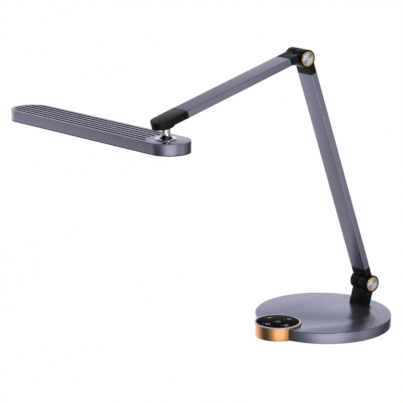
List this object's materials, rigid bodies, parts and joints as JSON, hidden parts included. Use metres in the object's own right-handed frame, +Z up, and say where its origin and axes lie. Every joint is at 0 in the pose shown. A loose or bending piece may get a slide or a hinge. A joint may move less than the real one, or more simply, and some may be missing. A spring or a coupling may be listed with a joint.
{
  "type": "swing arm desk lamp",
  "caption": "Desk lamp with a round weighted base, touch control puck, two flat arms on friction hinges and a long flat light head on a ball joint.",
  "frame": {"origin": "centre of the base disc's underside, on the desk", "axes": "+Z up from the desk, +X along the hinge axles, -Y towards the front where the control puck is; the head points along -X"},
  "size_m": [0.4228, 0.4426, 0.4154],
  "materials": {
    "base_paint": "satin",
    "cover_plastic": "fine moulded grain",
    "ballast_steel": "raw",
    "foot_rubber": "matte",
    "zinc_steel": "zinc plated",
    "circuit_board": "solder mask",
    "socket_plastic": "moulded",
    "ribbon_film": "film",
    "puck_copper": "copper anodised, brushed",
    "puck_rim": "bright turned",
    "touch_glass": "gloss",
    "hinge_plastic": "satin moulded",
    "cap_gold": "anodised",
    "cap_silver": "radially brushed",
    "seat_nylon": "moulded",
    "arm_metal": "satin anodised",
    "lead_jacket": "smooth",
    "stem_chrome": "polished",
    "head_metal": "satin anodised",
    "led_lens": "gloss",
    "light_white": "white",
    "diffuser_frost": "frosted",
    "rim_plastic": "satin moulded"
  },
  "bodies": {
    "base": {"base_shell": "base_paint", "bottom_cover": "cover_plastic", "ballast_plate": "ballast_steel", "foot_ring": "foot_rubber", "puck_foot": "foot_rubber", "cover_screws": "zinc_steel", "driver_board": "circuit_board", "driver_screws": "zinc_steel", "power_inlet": "socket_plastic", "touch_ribbon": "ribbon_film", "puck_shell": "puck_copper", "puck_bezel": "puck_rim", "puck_carrier": "cover_plastic", "touch_board": "circuit_board", "touch_glass": "touch_glass", "hinge_bracket": "hinge_plastic", "bracket_screws": "zinc_steel", "tilt_axle": "zinc_steel", "tilt_spring_washer": "zinc_steel", "tilt_nut": "zinc_steel", "tilt_friction_washer": "seat_nylon", "tilt_ring_right": "cap_gold", "tilt_disc_right": "cap_silver"},
    "lower_arm": {"tilt_ring_left": "cap_gold", "tilt_disc_left": "cap_silver", "lower_foot_connector": "hinge_plastic", "lower_tube": "arm_metal", "lower_grub_screws": "zinc_steel", "lower_lead": "lead_jacket", "lower_elbow_connector": "hinge_plastic", "elbow_axle": "zinc_steel", "elbow_spring_washer": "zinc_steel", "elbow_nut": "zinc_steel", "elbow_friction_washer": "seat_nylon", "elbow_ring_right": "cap_gold", "elbow_disc_right": "cap_silver"},
    "upper_arm": {"elbow_ring_left": "cap_gold", "elbow_disc_left": "cap_silver", "upper_elbow_connector": "hinge_plastic", "upper_tube": "arm_metal", "upper_grub_screws": "zinc_steel", "upper_lead": "lead_jacket", "nose_housing": "hinge_plastic", "socket_collar": "hinge_plastic"},
    "socket_seat": {"ball_seat": "seat_nylon"},
    "ball_stem": {"ball": "zinc_steel", "stem": "stem_chrome", "stem_washer": "zinc_steel", "stem_nut": "zinc_steel"},
    "head": {"head_shell": "head_metal", "led_board": "light_white", "led_rows": "led_lens", "led_screws": "zinc_steel", "led_connector": "light_white", "reflector": "light_white", "diffuser": "diffuser_frost", "head_bezel": "rim_plastic"}
  },
  "joints": [
    {"name": "base_tilt", "type": "hinge", "parent": "base", "child": "lower_arm", "pos_m": [0, 0.0819, 0.0501], "axis": [1, 0, 0], "range_deg": [-30, 25]},
    {"name": "elbow_fold", "type": "hinge", "parent": "lower_arm", "child": "upper_arm", "pos_m": [0, -0.0517, 0.40257], "axis": [1, 0, 0], "range_deg": [-70, 30]},
    {"name": "seat_swivel", "type": "hinge", "parent": "upper_arm", "child": "socket_seat", "pos_m": [0, -0.28586, 0.33577], "axis": [0, -0.2773, 0.9608], "range_deg": [-35, 35]},
    {"name": "stem_tilt", "type": "hinge", "parent": "socket_seat", "child": "ball_stem", "pos_m": [0, -0.28586, 0.33577], "axis": [1, 0, 0], "range_deg": [-6, 31]},
    {"name": "head_spin", "type": "hinge", "parent": "ball_stem", "child": "head", "pos_m": [0, -0.28586, 0.31527], "axis": [0, 0, 1], "range_deg": [-30, 190]}
  ]
}
